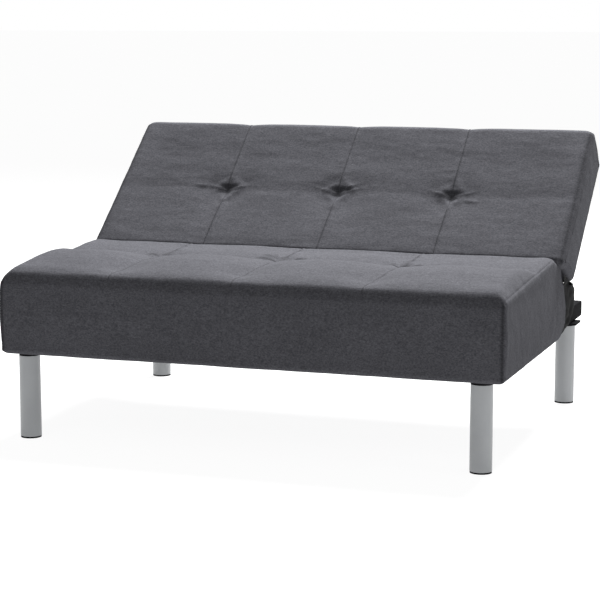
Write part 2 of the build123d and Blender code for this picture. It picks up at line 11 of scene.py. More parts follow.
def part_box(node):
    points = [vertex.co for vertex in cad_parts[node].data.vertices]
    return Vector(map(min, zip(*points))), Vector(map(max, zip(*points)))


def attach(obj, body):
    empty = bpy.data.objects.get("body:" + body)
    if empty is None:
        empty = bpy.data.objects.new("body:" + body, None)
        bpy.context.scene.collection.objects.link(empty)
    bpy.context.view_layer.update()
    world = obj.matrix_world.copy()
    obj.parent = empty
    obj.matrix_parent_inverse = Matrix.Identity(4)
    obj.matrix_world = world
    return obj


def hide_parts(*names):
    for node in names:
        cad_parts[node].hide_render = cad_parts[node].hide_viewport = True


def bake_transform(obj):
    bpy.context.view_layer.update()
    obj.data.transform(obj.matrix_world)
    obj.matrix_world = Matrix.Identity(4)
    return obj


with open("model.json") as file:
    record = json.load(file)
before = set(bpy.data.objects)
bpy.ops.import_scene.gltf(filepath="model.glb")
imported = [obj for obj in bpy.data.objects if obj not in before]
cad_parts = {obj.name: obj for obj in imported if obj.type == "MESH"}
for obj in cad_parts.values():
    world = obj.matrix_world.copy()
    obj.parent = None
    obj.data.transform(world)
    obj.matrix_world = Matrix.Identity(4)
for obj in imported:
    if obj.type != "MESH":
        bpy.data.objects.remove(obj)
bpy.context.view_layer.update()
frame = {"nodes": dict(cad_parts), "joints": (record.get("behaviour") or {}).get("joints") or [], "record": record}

MM = 0.001

# ---- places, from the frame and from the sizes that its parts were drawn to ----
SEAT_LOW, SEAT_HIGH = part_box("seat_cover")
BACK_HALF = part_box("back_cover")[1][0]
SEAT_HALF = SEAT_HIGH[0]
FRONT = SEAT_LOW[1]
PIVOT = Vector(next(j["pos_m"] for j in frame["joints"] if j["name"] == "back_recline"))
LEAN = math.radians(51)  # the back's face from vertical, at rest
FACE_UP = Vector((0, math.sin(LEAN), math.cos(LEAN)))
FACE_OUT = Vector((0, -math.cos(LEAN), math.sin(LEAN)))
FOOT = PIVOT + Vector((0, -15 * MM, 88 * MM))  # where the back's face meets the seat
BACK_LONG = 0.472
BACK_THICK = 0.136
SEAT_SEAMS = (-0.332, -0.028, 0.282)  # columns of the tufting, across the sofa
BACK_SEAMS = (-0.314, -0.007, 0.296)
SEAT_TUFT = FRONT + 0.338
BACK_TUFT = 0.222  # up the back's face

# ---- materials ----


def material(name):
    """A new node material and its Principled shader."""
    made = bpy.data.materials.new(name)
    made.use_nodes = True
    return made, made.node_tree.nodes["Principled BSDF"]


def node(mat, kind, **inputs):
    """A shader node with its unlinked inputs set by name."""
    made = mat.node_tree.nodes.new(kind)
    for key, value in inputs.items():
        made.inputs[key.replace("_", " ")].default_value = value
    return made


def link(mat, source, target):
    mat.node_tree.links.new(source, target)


def noise_of(mat, scale, detail=4.0, rough=0.6, stretch=(1, 1, 1)):
    """A noise texture in object coordinates, stretched along an axis where asked."""
    place = mat.node_tree.nodes.new("ShaderNodeTexCoord")
    mapping = mat.node_tree.nodes.new("ShaderNodeMapping")
    mapping.inputs["Scale"].default_value = stretch
    link(mat, place.outputs["Object"], mapping.inputs["Vector"])
    made = node(mat, "ShaderNodeTexNoise", Scale=scale, Detail=detail, Roughness=rough)
    link(mat, mapping.outputs["Vector"], made.inputs["Vector"])
    return made.outputs["Fac"]


def ramp(mat, fac, low, high, start=0.35, end=0.65):
    """Two colours along a factor."""
    made = mat.node_tree.nodes.new("ShaderNodeValToRGB")
    made.color_ramp.elements[0].position = start
    made.color_ramp.elements[1].position = end
    made.color_ramp.elements[0].color = (*low, 1)
    made.color_ramp.elements[1].color = (*high, 1)
    link(mat, fac, made.inputs["Fac"])
    return made.outputs["Color"]


def mixed(mat, a, b, fac, blend="MIX"):
    """Two colour sockets mixed by a number or a socket."""
    made = mat.node_tree.nodes.new("ShaderNodeMix")
    made.data_type = "RGBA"
    made.blend_type = blend
    if isinstance(fac, float):
        made.inputs["Factor"].default_value = fac
    else:
        link(mat, fac, made.inputs["Factor"])
    link(mat, a, made.inputs[6])
    link(mat, b, made.inputs[7])
    return made.outputs[2]


def bump(mat, heights):
    """Bumps laid over each other: (height socket, strength, distance) from coarse to fine."""
    normal = None
    for height, strength, distance in heights:
        made = node(mat, "ShaderNodeBump", Strength=strength, Distance=distance)
        link(mat, height, made.inputs["Height"])
        if normal is not None:
            link(mat, normal, made.inputs["Normal"])
        normal = made.outputs["Normal"]
    return normal


def suede(name):
    """Brushed charcoal microsuede: a short dry nap, darkened by painted shade along the seam lines (the stitched
    line with painted shade in its groove), in the tuft pinches and creases and above the tufts.
    """
    mat, shader = material(name)
    patches = noise_of(mat, 7.0, 4.0, 0.6, (1.0, 1.6, 1.6))
    brushed = noise_of(mat, 130.0, 5.0, 0.7, (0.4, 1.0, 1.0))
    fleck = noise_of(mat, 300.0, 4.0, 0.75, (0.7, 1.0, 1.0))
    nap = noise_of(mat, 1300.0, 3.0, 0.7)
    base = ramp(mat, patches, (0.061, 0.061, 0.068), (0.069, 0.069, 0.077), 0.3, 0.7)
    streak = ramp(mat, brushed, (0.90, 0.90, 0.90), (1.11, 1.11, 1.11), 0.34, 0.66)
    grain = ramp(mat, fleck, (0.68, 0.68, 0.69), (1.36, 1.36, 1.35), 0.36, 0.64)
    speck = ramp(mat, nap, (0.70, 0.70, 0.71), (1.30, 1.30, 1.30), 0.34, 0.66)
    colour = mixed(mat, base, streak, 1.0, "MULTIPLY")
    colour = mixed(mat, colour, grain, 1.0, "MULTIPLY")
    colour = mixed(mat, colour, speck, 0.8, "MULTIPLY")
    # painted shade: a per-point attribute darkens the colour at the seam lines, tuft pinches, creases and the
    # shadows above the tufts
    seam_and_painted_shade = mat.node_tree.nodes.new("ShaderNodeAttribute")
    seam_and_painted_shade.attribute_name = "seam_and_painted_shade"
    shade = ramp(mat, seam_and_painted_shade.outputs["Fac"], (1, 1, 1), (0.12, 0.12, 0.12), 0.0, 1.0)
    colour = mixed(mat, colour, shade, 1.0, "MULTIPLY")
    link(mat, colour, shader.inputs["Base Color"])
    shader.inputs["Roughness"].default_value = 0.97
    shader.inputs["Specular IOR Level"].default_value = 0.03
    shader.inputs["Sheen Weight"].default_value = 0.05
    shader.inputs["Sheen Roughness"].default_value = 0.5
    shader.inputs["Sheen Tint"].default_value = (0.75, 0.76, 0.82, 1)
    normal = bump(mat, [(brushed, 0.3, 0.0010), (fleck, 0.35, 0.0006), (nap, 0.35, 0.0003)])
    link(mat, normal, shader.inputs["Normal"])
    return mat


def plain(name, colour, rough, metallic=0.0, grain=220.0, depth=0.0002, spread=0.1, gloss=0.5):
    """A finish with small changes of colour and roughness and a fine surface texture."""
    mat, shader = material(name)
    low = tuple(c * (1 - spread) for c in colour)
    high = tuple(min(1.0, c * (1 + spread)) for c in colour)
    clouds = noise_of(mat, 14.0, 5.0, 0.6)
    fine = noise_of(mat, grain, 3.0, 0.6)
    link(mat, ramp(mat, clouds, low, high, 0.3, 0.7), shader.inputs["Base Color"])
    shader.inputs["Metallic"].default_value = metallic
    shader.inputs["Specular IOR Level"].default_value = gloss
    span = node(mat, "ShaderNodeMapRange", To_Min=rough * 0.85, To_Max=min(1.0, rough * 1.15))
    link(mat, clouds, span.inputs["Value"])
    link(mat, span.outputs["Result"], shader.inputs["Roughness"])
    link(mat, bump(mat, [(fine, 0.4, depth)]), shader.inputs["Normal"])
    return mat


def nonwoven(name):
    """Thin black spun-bonded cloth, with its pressed dots and fibres."""
    mat, shader = material(name)
    place = mat.node_tree.nodes.new("ShaderNodeTexCoord")
    dots = node(mat, "ShaderNodeTexVoronoi", Scale=420.0)
    link(mat, place.outputs["Object"], dots.inputs["Vector"])
    fibre = noise_of(mat, 500.0, 4.0, 0.7, (0.3, 1, 1))
    black = ramp(mat, fibre, (0.005, 0.005, 0.005), (0.016, 0.016, 0.017))
    link(mat, black, shader.inputs["Base Color"])
    shader.inputs["Roughness"].default_value = 0.85
    shader.inputs["Specular IOR Level"].default_value = 0.03
    shader.inputs["Sheen Weight"].default_value = 0.02
    normal = bump(mat, [(dots.outputs["Distance"], 0.35, 0.0004), (fibre, 0.4, 0.0003)])
    link(mat, normal, shader.inputs["Normal"])
    return mat


SUEDE = suede("charcoal_microsuede")
NONWOVEN = nonwoven("black_nonwoven")
GREY = plain("grey_painted_steel", (0.33, 0.34, 0.35), 0.42, 0.35, 900.0, 0.00008, 0.05)
BLACK = plain("black_painted_steel", (0.010, 0.010, 0.011), 0.6, 0.0, 700.0, 0.0001, 0.2, 0.004)
PLASTIC = plain("black_plastic", (0.012, 0.012, 0.013), 0.6, 0.0, 600.0, 0.0001, 0.15, 0.004)
RUBBER = plain("black_rubber", (0.018, 0.018, 0.018), 0.85, 0.0, 500.0, 0.0002, 0.2, 0.2)
ZINC = plain("zinc_plated_steel", (0.50, 0.50, 0.48), 0.35, 1.0, 300.0, 0.0001, 0.12)
FOAM = plain("cream_foam", (0.70, 0.62, 0.42), 0.95, 0.0, 260.0, 0.0008, 0.08)
BY_SLOT = {
    "microsuede": SUEDE,
    "black_cloth": NONWOVEN,
    "foam": FOAM,
    "grey_steel": GREY,
    "black_steel": BLACK,
    "bare_steel": ZINC,
    "black_plastic": PLASTIC,
    "rubber": RUBBER,
}
for part in frame["record"]["subparts"]:
    cad_object = frame["nodes"][part["node"]]
    for place in cad_object.material_slots:
        place.link = "OBJECT"
        place.material = BY_SLOT[part["material_slot"]]

# ---- a cushion's skin: an outline seen from the side, carried across the sofa ----


def rounded(corners, step=0.5 * MM):
    """A closed outline of (a, b) corners with radii as dense points, and each corner's middle."""
    points, middles = [], []
    count = len(corners)
    for n, (a, b, radius) in enumerate(corners):
        here = Vector((a, b))
        before = (Vector(corners[n - 1][:2]) - here).normalized()
        after = (Vector(corners[(n + 1) % count][:2]) - here).normalized()
        half = before.angle(after) / 2
        reach = radius / math.tan(half)
        centre = here + (before + after).normalized() * (radius / math.sin(half))
        start, end = here + before * reach - centre, here + after * reach - centre
        turn = start.angle_signed(end)
        steps = max(2, int(abs(turn) * radius / step))
        steps += steps % 2
        for k in range(steps + 1):
            angle = -turn * k / steps
            c, s = math.cos(angle), math.sin(angle)
            spot = Vector((start.x * c - start.y * s, start.x * s + start.y * c))
            if k == steps // 2:
                middles.append(len(points))
            points.append(centre + spot)
    return np.array([tuple(p) for p in points]), middles


GRID = 9.3 * MM  # the usual distance between the points of a cushion, before it is subdivided


def resample(points, count_of):
    """Points spaced along an open line, closer where it bends. count_of gives their number."""
    ahead = np.diff(points, axis=0)
    length = np.hypot(ahead[:, 0], ahead[:, 1])
    angle = np.unwrap(np.arctan2(ahead[:, 1], ahead[:, 0]))
    bend = np.abs(np.gradient(angle))
    cost = np.concatenate([[0], np.cumsum(length / GRID + bend / math.radians(16))])
    at = np.linspace(0, cost[-1], count_of(cost[-1]) + 1)
    return np.stack([np.interp(at, cost, points[:, 0]), np.interp(at, cost, points[:, 1])], 1)


def side_rows(half, edge, seams):
    """Places across the sofa, close together at the seams and over the rounded side edges."""
    flat = half - edge
    stops = sorted([-flat, flat, *seams])
    rows = []
    for a, b in zip(stops, stops[1:]):
        near_a, near_b = a in seams, b in seams
        start = [a, a + 2.2 * MM, a + 5.5 * MM] if near_a else [a]
        end = [b - 5.5 * MM, b - 2.2 * MM] if near_b else []
        low, high = start[-1], (end[0] if end else b)
        count = round((high - low) / GRID)
        rows += start[:-1] + [low + (high - low) * n / count for n in range(count)] + end
    rows.append(flat)
    inset = [0.0] * len(rows)
    for degrees in (20, 36, 45, 54, 70, 90):
        turn = math.radians(degrees)
        rows.append(flat + edge * math.sin(turn))
        inset.append(edge * (1 - math.cos(turn)))
    rows = [-x for x in rows[:-7:-1]] + rows
    inset = inset[:-7:-1] + inset
    return rows, inset


def skin(corners, four, half, edge, seams):
    """A closed box-like skin of quads: its points, its faces, and the side each point lies on.

    four are the indices of the corners that the end panels are stretched between, in order.
    """
    dense, middles = rounded(corners)
    cuts = [middles[n] for n in four]
    dense = np.roll(dense, -cuts[0], axis=0)
    cuts = [(c - cuts[0]) % len(dense) for c in cuts] + [len(dense)]
    loop = np.vstack([dense, dense[:1]])
    counts = {}

    def count_for(side):
        def count_of(cost):
            counts.setdefault(side % 2, max(4, round(cost)))
            return counts[side % 2]
        return count_of

    order = sorted(range(4), key=lambda side: side % 2)
    sides = {}
    for side in order:
        sides[side] = resample(loop[cuts[side] : cuts[side + 1] + 1], count_for(side))
    ring = np.vstack([sides[side][:-1] for side in range(4)])
    side_of = np.concatenate([[side] * (len(sides[side]) - 1) for side in range(4)])
    across = np.roll(ring, -1, 0) - np.roll(ring, 1, 0)
    across /= np.hypot(across[:, 0], across[:, 1])[:, None]
    centre = ring.mean(0)
    inward = np.stack([-across[:, 1], across[:, 0]], 1)
    if ((centre - ring) * inward).sum() < 0:
        inward = -inward
    rows, inset = side_rows(half, edge, seams)
    size = len(ring)
    points, where, faces = [], [], []
    for x, depth in zip(rows, inset):
        for n, (a, b) in enumerate(ring + inward * depth):
            points.append((x, a, b))
            where.append(side_of[n])
    for r in range(len(rows) - 1):
        for n in range(size):
            m = (n + 1) % size
            faces.append((r * size + n, r * size + m, (r + 1) * size + m, (r + 1) * size + n))
    first, second = counts[0], counts[1]
    corner = [0, first, first + second, 2 * first + second]
    for r, flip in ((0, True), (len(rows) - 1, False)):
        edge_ring = np.array(points[r * size : (r + 1) * size])
        low = [edge_ring[(corner[0] - n) % size] for n in range(second + 1)]
        high = [edge_ring[corner[1] + n] for n in range(second + 1)]
        left = [edge_ring[corner[0] + n] for n in range(first + 1)]
        right = [edge_ring[corner[3] - n] for n in range(first + 1)]
        index = {}
        for i in range(second + 1):
            for j in range(first + 1):
                if i == 0:
                    index[i, j] = r * size + (corner[0] + j) % size
                elif i == second:
                    index[i, j] = r * size + (corner[3] - j) % size
                elif j == 0:
                    index[i, j] = r * size + (corner[0] - i) % size
                elif j == first:
                    index[i, j] = r * size + corner[1] + i
                else:
                    u, v = i / second, j / first
                    spot = (1 - v) * low[i] + v * high[i] + (1 - u) * left[j] + u * right[j]
                    spot = spot - (1 - u) * (1 - v) * low[0] - u * (1 - v) * low[second]
                    spot = spot - (1 - u) * v * high[0] - u * v * high[second]
                    index[i, j] = len(points)
                    points.append(tuple(spot))
                    where.append(4)
        for i in range(second):
            for j in range(first):
                quad = (index[i, j], index[i, j + 1], index[i + 1, j + 1], index[i + 1, j])
                faces.append(quad[::-1] if flip else quad)
    return np.array(points), faces, np.array(where), (rows, size)


def mesh_object(name, points, faces, mat):
    mesh = bpy.data.meshes.new(name)
    mesh.from_pydata([tuple(p) for p in points], [], faces)
    mesh.validate()
    made = bpy.data.objects.new(name, mesh)
    bpy.context.collection.objects.link(made)
    mesh.materials.append(mat)
    for face in mesh.polygons:
        face.use_smooth = True
    return made


def smooth_step(value, low, high):
    t = np.clip((value - low) / (high - low), 0, 1)
    return t * t * (3 - 2 * t)


def waviness(points, scale, seed):
    """Soft noise from -1 to 1 at each point; scale is a number or one for each axis."""
    shift = Vector((seed * 7.3, seed * 3.1, seed * 1.7))
    stretched = points * np.array(scale)
    return np.array([noise.noise(Vector(p) + shift) for p in stretched])


class TuftedFace:
    """The tufted face of a cushion. x is across the sofa, up along the face and out away from it."""

    def __init__(
        self, seams, half, ends, tuft_up, skirt, swell, valley, pit, channel, rise, seam_and_painted_shade, far,
        crown, crease, wrinkles,
    ):
        self.seams, self.half, self.ends, self.tuft_up = seams, half, ends, tuft_up
        self.skirt = skirt  # how far out the face fades in: from, to
        self.swell, self.valley, self.pit, self.channel = swell, valley, pit, channel
        self.rise = rise  # slope of the creases that leave a tuft
        # the seam lines' darkness is the stitched line with painted shade in its groove
        self.seam_and_painted_shade = seam_and_painted_shade  # how dark the seams are
        self.far = far  # how high the mounds past the tufts are, to those before them
        self.crown = crown  # (share of the swell that each mound has for itself, its power)
        self.crease = crease  # how wide and deep the creases are, to the back's
        self.wrinkles = wrinkles  # (tuft, side, slope, nearest, farthest) of each loose wrinkle

    def mask(self, x, out):
        edge = smooth_step(-np.abs(x), -self.half, -self.half + 24 * MM)
        return edge * smooth_step(out, *self.skirt)

    def fade(self, up, reach=30 * MM):
        low, high = self.ends
        return smooth_step(up, low, low + reach) * smooth_step(-up, -high, -high + reach)

    def form(self, x, up):
        """Height of the filling: mounds between the seams, less the valleys and the tufts."""
        stops = [-self.half, *self.seams, self.half]
        across = np.zeros(len(x))
        for a, b in zip(stops, stops[1:]):
            t = np.clip((x - a) / (b - a), 0, 1)
            across += np.where((x >= a) & (x < b), (4 * t * (1 - t)) ** 0.5, 0)
        low, high = self.ends
        below, above = (up - low) / (self.tuft_up - low), (high - up) / (high - self.tuft_up)
        t = np.clip(np.where(up < self.tuft_up, below, above), 0, 1)
        whole = np.sin(np.pi * np.clip((up - low) / (high - low), 0, 1)) ** 0.6
        du = up - self.tuft_up
        share = 1 + (self.far - 1) * smooth_step(du, -10 * MM, 30 * MM)
        own, power = self.crown
        mound = own * (4 * t * (1 - t)) ** power + (1 - own) * whole
        even = 1 - (1 - across) * smooth_step(up, low, low + 90 * MM)
        height = self.swell * share * (0.35 + 0.65 * even) * mound
        height -= self.channel * np.exp(-np.abs(du) / (20 * MM)) * self.fade(up)
        for seam in self.seams:
            dx = x - seam
            height -= self.valley * np.exp(-np.abs(dx) / (20 * MM)) * (0.15 + 0.85 * self.fade(up))
            dv = np.where(du > 0, du, du / 1.9)
            height -= self.pit * np.exp(-((np.hypot(dx / 1.5, dv) / (25 * MM)) ** 1.15))
        return height

    def detail(self, x, up, seed):
        """Fine depth and painted shade: seam lines, pinches, a painted shadow above each tuft, and the creases and
        wrinkles that leave a tuft.
        """
        depth, shade = np.zeros(len(x)), np.zeros(len(x))
        run = self.fade(up, 12 * MM)
        du = up - self.tuft_up
        for n, seam in enumerate(self.seams):
            dx = x - seam
            line = np.exp(-((dx / (1.7 * MM)) ** 2)) * run
            depth += 1.8 * MM * line
            # a darker seam line: the stitched line, with painted shade in its groove
            shade = np.maximum(shade, self.seam_and_painted_shade * line)
            r, angle = np.hypot(dx, du), np.arctan2(du, dx)
            pinch = np.exp(-((np.hypot(dx / 3.2, du - 1 * MM) / (5 * MM)) ** 2))
            depth += 2.4 * MM * pinch
            # painted shade in the pinch of each tuft
            shade = np.maximum(shade, 0.66 * pinch)
            # a painted shadow above each tuft
            shadow = np.exp(-(((du / self.crease - 11 * MM) / (17 * MM)) ** 2) - (dx / (17 * MM)) ** 2)
            shade = np.maximum(shade, 0.33 * shadow)
            for side in (-1, 1):
                along = side * dx
                length = (88 + 12 * math.sin(3.7 * n + side + seed)) * MM
                path = self.rise * along * (0.7 + 0.45 * along / length)
                wide = 3.6 * MM * self.crease * (1 - 0.4 * np.clip(along / length, 0, 1))
                fold = np.exp(-(((du - path) / wide) ** 2))
                fold *= smooth_step(along, -4 * MM, 4 * MM)
                fold *= smooth_step(-along, -length, -length * 0.2)
                depth += 2.4 * MM * self.crease * fold
                # painted shade along each crease
                shade = np.maximum(shade, 0.68 * fold)
                lip = np.exp(-(((du - path - 10 * MM) / (7 * MM)) ** 2))
                lip *= smooth_step(along, 0, 8 * MM) * smooth_step(-along, -length, 0)
                depth -= 0.8 * MM * lip
            rays = np.cos(8 * angle + 2.1 * n + seed + 1.5 * np.sin(2 * angle))
            depth += 0.4 * MM * rays * smooth_step(r, 8 * MM, 22 * MM) * np.exp(-r / (36 * MM))
        for tuft, side, slope, nearest, farthest in self.wrinkles:
            along = side * (x - self.seams[tuft])
            path = slope * along * (1 - 0.35 * along / farthest)
            fold = np.exp(-(((du - path) / (4 * MM * self.crease)) ** 2))
            fold *= smooth_step(along, nearest, nearest + 16 * MM)
            fold *= smooth_step(-along, -farthest, -farthest * 0.5)
            depth += 3 * MM * self.crease * fold
            # painted shade along each wrinkle
            shade = np.maximum(shade, 0.30 * fold)
        return depth, shade


def inflate(piece, pins, pressure, cap, ease, frames=18):
    """Cloth simulation: the cover swells over its filling between the pinned points.

    cap is the farthest that a point may move, and ease the share of its move that each point keeps.
    """
    group = piece.vertex_groups.new(name="pins")
    for n in np.flatnonzero(pins > 0.01):
        group.add([int(n)], float(min(1.0, pins[n])), "REPLACE")
    before = np.array([v.co[:] for v in piece.data.vertices])
    cloth = piece.modifiers.new("Cloth", "CLOTH")
    settings = cloth.settings
    settings.quality = 5
    settings.mass = 0.25
    settings.air_damping = 3
    settings.tension_stiffness = settings.compression_stiffness = 18
    settings.shear_stiffness = 9
    settings.bending_stiffness = 0.35
    settings.shrink_min = -0.012
    settings.use_pressure = True
    settings.uniform_pressure_force = pressure
    settings.vertex_group_mass = "pins"
    settings.pin_stiffness = 1.0
    settings.effector_weights.gravity = 0
    cloth.collision_settings.use_collision = False
    cloth.collision_settings.use_self_collision = False
    scene = bpy.context.scene
    for now in range(1, frames + 1):
        scene.frame_set(now)
    graph = bpy.context.evaluated_depsgraph_get()
    swollen = bpy.data.meshes.new_from_object(piece.evaluated_get(graph))
    after = np.array([v.co[:] for v in swollen.vertices])
    piece.modifiers.remove(cloth)
    bpy.data.meshes.remove(swollen)
    scene.frame_set(1)
    moved = after - before
    far = np.linalg.norm(moved, axis=1)
    keep = ease * cap * np.tanh(far / cap) / np.maximum(far, 1e-9)
    piece.data.vertices.foreach_set("co", (before + moved * keep[:, None]).ravel())
    piece.data.update()


def push_along_normals(piece, amount):
    """Moves each point of a mesh along its own normal."""
    normals = np.array([v.normal[:] for v in piece.data.vertices])
    points = np.array([v.co[:] for v in piece.data.vertices])
    piece.data.vertices.foreach_set("co", (points + normals * amount[:, None]).ravel())
    piece.data.update()


def apply_modifiers(piece):
    graph = bpy.context.evaluated_depsgraph_get()
    done = bpy.data.meshes.new_from_object(piece.evaluated_get(graph))
    piece.modifiers.clear()
    piece.data = done


def subdivide(piece, levels=1):
    made = piece.modifiers.new("Subdivision", "SUBSURF")
    made.levels = made.render_levels = levels
    apply_modifiers(piece)


def edge_seams(rows, size, where, count, depths):
    """Depth of the stitched line along the side panels: depths gives it by side of the skin and row."""
    depth = np.zeros(count)
    for r in range(len(rows)):
        for k in range(r * size, (r + 1) * size):
            depth[k] = depths.get(where[k], {}).get(min(r, len(rows) - 1 - r), 0.0)
    return depth


def press_detail(piece, face, to_flat, seed, extra):
    """Presses the fine detail into a finished skin and records its painted shade: how dark each seam line, pinch,
    crease and tuft shadow is.
    """
    points = np.array([v.co[:] for v in piece.data.vertices])
    x, up, out = to_flat(points)
    mask = face.mask(x, out)
    depth, shade = face.detail(x, up, seed)
    depth = depth * mask + 0.7 * MM * waviness(points, (9, 26, 26), seed)
    depth += 0.45 * MM * waviness(points, (24, 60, 60), seed + 1)
    push_along_normals(piece, -depth)
    # painted shade from the face's detail and the extra seam lines, kept as a per-point attribute
    dark = np.maximum(shade * mask, extra(x, up, out))
    seam_and_painted_shade = piece.data.attributes.new("seam_and_painted_shade", "FLOAT", "POINT")
    seam_and_painted_shade.data.foreach_set("value", dark.astype(np.float32))


def padded_piece(name, body, fill, *replaced):
    """Attaches a finished cushion to its body and hides the parts that it replaces."""
    piece = bpy.data.objects[name]
    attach(piece, body)
    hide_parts(*replaced)


# ---- seat ----
SEAT_EDGE = 14 * MM
SEAT_SIDE = SEAT_HALF + 5 * MM
seat_corners = [
    (FRONT, SEAT_LOW[2] - 2 * MM, 12 * MM),
    (FRONT, SEAT_HIGH[2] - 10 * MM, 26 * MM),
    (FRONT + 0.514, SEAT_HIGH[2] + 20 * MM, 0.07),
    (FRONT + 0.600, SEAT_HIGH[2] - 10 * MM, 54 * MM),
    (FRONT + 0.651, SEAT_LOW[2] + 66 * MM, 24 * MM),
    (FRONT + 0.651, SEAT_LOW[2] + 31 * MM, 18 * MM),
    (FRONT + 0.600, SEAT_LOW[2], 34 * MM),
]
seat_face = TuftedFace(
    SEAT_SEAMS, half=SEAT_SIDE, ends=(FRONT + 6 * MM, FRONT + 0.54), tuft_up=SEAT_TUFT,
    skirt=(SEAT_HIGH[2] - 40 * MM, SEAT_HIGH[2] - 13 * MM),
    swell=38 * MM, valley=3 * MM, pit=11 * MM, channel=8 * MM, rise=0.12, seam_and_painted_shade=0.4, far=0.30,
    crown=(0.8, 0.65), crease=2.2,
    wrinkles=[
        (1, -1, 0.95, 0.012, 0.085), (1, -1, 1.6, 0.014, 0.075), (1, -1, 2.6, 0.012, 0.05),
        (1, 1, 1.5, 0.016, 0.06), (0, 1, 1.2, 0.016, 0.06), (2, -1, 1.4, 0.016, 0.05),
    ],
)
around = skin(seat_corners, (0, 1, 3, 6), SEAT_SIDE, SEAT_EDGE, SEAT_SEAMS)
skin_points, faces, where, (rows, size) = around
x, y, z = skin_points.T
top = seat_face.mask(x, z)
shape = skin_points.copy()
shape[:, 2] += top * seat_face.form(x, y)
height = np.clip((z - SEAT_LOW[2]) / (SEAT_HIGH[2] - SEAT_LOW[2]), 0, 1)
on_front = smooth_step(-y, -(FRONT + 30 * MM), -(FRONT + 2 * MM))
shape[:, 1] -= on_front * 3 * MM * np.sin(np.pi * height)
on_side = smooth_step(np.abs(x), SEAT_SIDE - SEAT_EDGE, SEAT_SIDE)
shape[:, 0] += np.sign(x) * on_side * 5 * MM * np.sin(np.pi * height)
seat = mesh_object("seat_cushion", shape, faces, SUEDE)
pins = np.zeros(len(x))
for seam in SEAT_SEAMS:
    pins = np.maximum(pins, (np.abs(x - seam) < 1 * MM) * top * 0.6)
    pins = np.maximum(pins, (np.hypot(x - seam, y - SEAT_TUFT) < 12 * MM) * top)
hem = smooth_step(-z, -(SEAT_LOW[2] + 14 * MM), -(SEAT_LOW[2] + 3 * MM))
nose = smooth_step(y, FRONT + 0.52, FRONT + 0.58)
channel = (np.abs(y - SEAT_TUFT) < 7 * MM) * top * 0.3
on_top = smooth_step(z, SEAT_HIGH[2] - 40 * MM, SEAT_HIGH[2] - 10 * MM)
inner = smooth_step(y, FRONT - 2 * MM, FRONT + 0.12) * smooth_step(-y, -(FRONT + 0.56), -(FRONT + 0.46))
inner *= smooth_step(-np.abs(x), -SEAT_SIDE, -SEAT_SIDE + 80 * MM)
ease = on_top * inner + (1 - on_top) * 0.25
inflate(seat, np.maximum.reduce([pins, hem, nose, channel]), 3.0, 9 * MM, ease)
RIDGE = {2: 0.5 * MM, 3: -1.6 * MM, 4: 0.7 * MM}
GROOVE = {2: 1.0 * MM, 3: 2.2 * MM, 4: 0.6 * MM}
seams_at = {0: GROOVE, 1: RIDGE, 2: RIDGE}
push_along_normals(seat, -edge_seams(rows, size, where, len(x), seams_at))
subdivide(seat)


def seat_extra(x, up, out):
    """Painted shade along the front corners' upright seams."""
    corner = np.exp(-(((np.abs(x) - SEAT_SIDE + 6 * MM) / (4 * MM)) ** 2))
    corner *= smooth_step(-up, -(FRONT + 12 * MM), -(FRONT + 4 * MM)) * (out < SEAT_HIGH[2] - 16 * MM)
    return 0.6 * corner


press_detail(seat, seat_face, lambda points: points.T, 1, seat_extra)
padded_piece("seat_cushion", "base", 0.8, "seat_cover", "seat_foam")

# ---- back ----
BACK_EDGE = 20 * MM
BACK_SIDE = BACK_HALF + 10 * MM
REAR = BACK_THICK - 0.5 * MM
TOP_UP = BACK_LONG + 9 * MM


def on_back(flat):
    """From (x, up the face, out of the face) to the row's frame."""
    sideways = np.array((1.0, 0, 0))
    axes = np.array([sideways, FACE_UP, FACE_OUT])
    return np.array((0.0, FOOT.y, FOOT.z)) + flat @ axes


def off_back(points):
    """The reverse of on_back, as three arrays."""
    local = points - np.array((0.0, FOOT.y, FOOT.z))
    return local[:, 0], local @ np.array(FACE_UP), local @ np.array(FACE_OUT)


back_corners = [
    (55 * MM, -REAR, 12 * MM),
    (22 * MM, -50 * MM, 50 * MM),
    (-14 * MM, -2 * MM, 14 * MM),
    (TOP_UP, 0.0, 26 * MM),
    (TOP_UP, -REAR, 12 * MM),
]
back_face = TuftedFace(
    BACK_SEAMS, half=BACK_SIDE, ends=(-0.09, TOP_UP + 0.05), tuft_up=BACK_TUFT,
    skirt=(-34 * MM, -4 * MM),
    swell=6 * MM, valley=2 * MM, pit=19 * MM, channel=0.5 * MM, rise=0.24, seam_and_painted_shade=0.5, far=1.0,
    crown=(0.5, 1.0), crease=1.0,
    wrinkles=[(0, -1, 0.16, 0.05, 0.11), (2, 1, -0.42, 0.03, 0.09), (1, 1, 0.9, 0.016, 0.05)],
)
around = skin(back_corners, (0, 2, 3, 4), BACK_SIDE, BACK_EDGE, BACK_SEAMS)
flat, faces, where, (rows, size) = around
x, up, out = flat.T
front = back_face.mask(x, out)
shape = flat.copy()
shape[:, 2] += front * back_face.form(x, up)
top_end = smooth_step(up, TOP_UP - 20 * MM, TOP_UP - 4 * MM)
dip = np.max([np.exp(-np.abs(x - seam) / (35 * MM)) for seam in BACK_SEAMS], axis=0)
shape[:, 1] -= top_end * dip * 4 * MM * smooth_step(out, -80 * MM, -10 * MM)
on_side = smooth_step(np.abs(x), BACK_SIDE - BACK_EDGE, BACK_SIDE)
shape[:, 0] += np.sign(x) * on_side * 3 * MM * np.sin(np.pi * np.clip(-out / REAR, 0, 1))
back = mesh_object("back_cushion", on_back(shape), faces, SUEDE)
pins = np.zeros(len(x))
for seam in BACK_SEAMS:
    pins = np.maximum(pins, (np.abs(x - seam) < 1 * MM) * front * 0.6)
    pins = np.maximum(pins, (np.hypot(x - seam, up - BACK_TUFT) < 12 * MM) * front)
